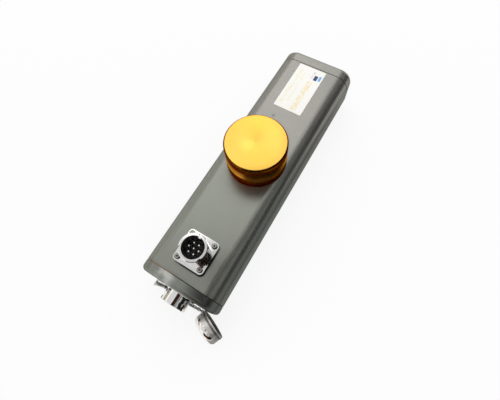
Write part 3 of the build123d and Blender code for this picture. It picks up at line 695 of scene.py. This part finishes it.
# Transducer sleeves. Black rubber, moulded with a flange and pressed into the ports of the floor.
# They have the finish of the connector gaskets.
dress(seal_rubber, "transducer_sleeves")

# Transducer screens. Woven steel gauze, cut round and laid in the ports below the transducers, where
# it keeps grit out and lets sound through.
wire_pitch = 0.0009
gauze, shader, place = finish("gauze", (0.5, 0.5, 0.48), 0.35, 1.0)
warp, weft = waves(along(place, "X"), wire_pitch), waves(along(place, "Y"), wire_pitch)
wires = place.math("MAXIMUM", warp, weft)
tint(place, step(wires, 0.0, 0.6), (0.02, 0.02, 0.02), (0.55, 0.55, 0.53)).feed(shader, "Base Color")
relief(place, shader, wires + warp * weft * 0.5, 0.0001)
dress(gauze, "transducer_screens")

# Label. White foil, glued on the roof near the far end. Its print is plain fields: faint yellow and
# orange bands along it, worn thin in places, and a small grey and two small blue ones.
label_foil, shader, place = finish("label_foil", (0.93, 0.92, 0.86), 0.3)
side, run = along(place, "X"), along(place, "Y")
worn = grain(place, 0.0025, 4.0, (1, 0.5, 1))
thin = step(worn, 0.38, 0.62)
foil = tint(place, grain(place, 0.01), (0.95, 0.94, 0.88), (1.0, 0.995, 0.97))


def field(left, right, near, far, soft=0.0004):
    """1 inside a rectangle of the label, in metres, with a soft edge."""
    across = step(side, left - soft, left + soft) * (1.0 - step(side, right - soft, right + soft))
    return across * step(run, near - soft, near + soft) * (1.0 - step(run, far - soft, far + soft))


for strength, edges, colour in (
    (thin * 0.75, (-0.0145, -0.0115, 0.0745, 0.126), (0.93, 0.84, 0.48)),
    (thin * 0.6, (-0.0088, -0.0058, 0.078, 0.122), (0.95, 0.87, 0.55)),
    (thin * 0.85, (0.0002, 0.006, 0.0695, 0.113), (0.95, 0.76, 0.36)),
    (thin * 0.6, (0.0012, 0.0037, 0.1175, 0.128), (0.5, 0.46, 0.42)),
    (1.0, (0.0046, 0.0086, 0.1165, 0.1235), (0.035, 0.05, 0.16)),
    (1.0, (0.0098, 0.0124, 0.1175, 0.1245), (0.16, 0.46, 0.8)),
):
    foil = tint(place, field(*edges) * strength, foil, colour)
foil.feed(shader, "Base Color")
(0.28 + worn * 0.12).feed(shader, "Roughness")
relief(place, shader, grain(place, 0.006), 0.00012)
dress(label_foil, "label")

# Dust cap. Turned and nickel-plated. Its rounded end is polished, its wall is worn to a satin and
# stained, and the groove that its ring lies in is painted dark as shade.
cap_axis, cap_middle = (0.4067, 0.9135, 0), -0.1311
cap_plate, shader, place = finish("cap_plate", (0.74, 0.71, 0.65), 0.22, 1.0)
cloud = grain(place, 0.005, 4.0)
stain = step(grain(place, 0.0018, 4.0), 0.52, 0.7)
depth = place.node("VectorMath", {"operation": "DOT_PRODUCT"}, {0: place, 1: cap_axis}, "Value")
depth = depth - cap_middle
satin = step(depth, -0.0012, -0.0004)
# Painted shade: the band of the ring's groove is darkened.
groove_shade = step(depth, 0.0034, 0.0037) * (1.0 - step(depth, 0.0051, 0.0054))
plate = tint(place, cloud, (0.93, 0.9, 0.85), (1.0, 0.98, 0.95))
plate = tint(place, satin * stain * 0.3, plate, (0.42, 0.35, 0.27))
tint(place, groove_shade, plate, (0.05, 0.04, 0.03)).feed(shader, "Base Color")
(0.06 + cloud * 0.05 + satin * 0.34).feed(shader, "Roughness")
relief(place, shader, cloud * 0.3 + grain(place, 0.0004) * satin, 0.00001)
dress(cap_plate, "dust_cap")

# Bayonet studs and seal of the cap. Steel studs pressed into its wall, and a black rubber disc that
# lies against its end inside.
dress(plain_steel, "dust_cap_studs")
dress(seal_rubber, "dust_cap_seal")

# Cap ring. Bright steel wire, bent round the cap's groove and into an eye for the last link of the
# chain. The cap turns in it.
dress(plain_steel, "cap_ring")

# Chain lug and chain. The lug is plated strip under a flange screw. The links are stamped steel in
# dark and bright patches, partly worn plate and dirt and partly painted glints and shade. They are
# thicker across than the plain solids and rounded by the stamping, and near the table they are
# lifted so that they lie on it.
thicker, link_span, most_lift = 1.22, 0.0035, 0.0004
unlifted_from, lift_range = 0.02, 0.014
dress(nickel_plate, "chain_lug")
links = nodes["chain"].copy()
links.data = nodes["chain"].data.copy()
bpy.context.scene.collection.objects.link(links)
links.name = "stamped_links"
links.data.materials.clear()
bpy.ops.object.select_all(action="DESELECT")
links.select_set(True)
bpy.context.view_layer.objects.active = links
bpy.ops.object.mode_set(mode="EDIT")
bpy.ops.mesh.select_all(action="SELECT")
bpy.ops.mesh.remove_doubles(threshold=0.000005)
bpy.ops.mesh.dissolve_limited(angle_limit=math.radians(3))
bpy.ops.mesh.separate(type="LOOSE")
bpy.ops.object.mode_set(mode="OBJECT")
singles = list(bpy.context.selected_objects)
for link in singles:
    corners = [v.co for v in link.data.vertices]
    middle = sum(corners, Vector()) / len(corners)
    lengths = [a - b for a in corners for b in corners if (a - b).length > link_span]
    ahead = sum((d if d.dot(lengths[0]) > 0 else -d for d in lengths), Vector()).normalized()
    lift = most_lift * min(1, max(0, (unlifted_from - middle.z) / lift_range))
    widened = Matrix.Scale(1 / thicker, 4, ahead) @ Matrix.Scale(thicker, 4)
    moved = Matrix.Translation(middle + Vector((0, 0, lift)))
    link.data.transform(moved @ widened @ Matrix.Translation(-middle))
links = join(singles, "stamped_links")
bevel(links, 0.0002, 40)
smooth(links, 60)
chain_steel, shader, place = finish("chain_steel", (0.4, 0.38, 0.34), 0.2, 1.0)
# Worn plate and dirt, and painted glints and shade: bright patches stand partly for light caught on
# the links, dark ones partly for shade.
worn = step(grain(place, 0.0016, 3.0), 0.4, 0.6)
tint(place, worn, (0.035, 0.03, 0.024), (0.85, 0.82, 0.76)).feed(shader, "Base Color")
(0.15 + worn * 0.1).feed(shader, "Roughness")
links.data.materials.append(chain_steel)
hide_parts("chain")
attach(links, "sensor")
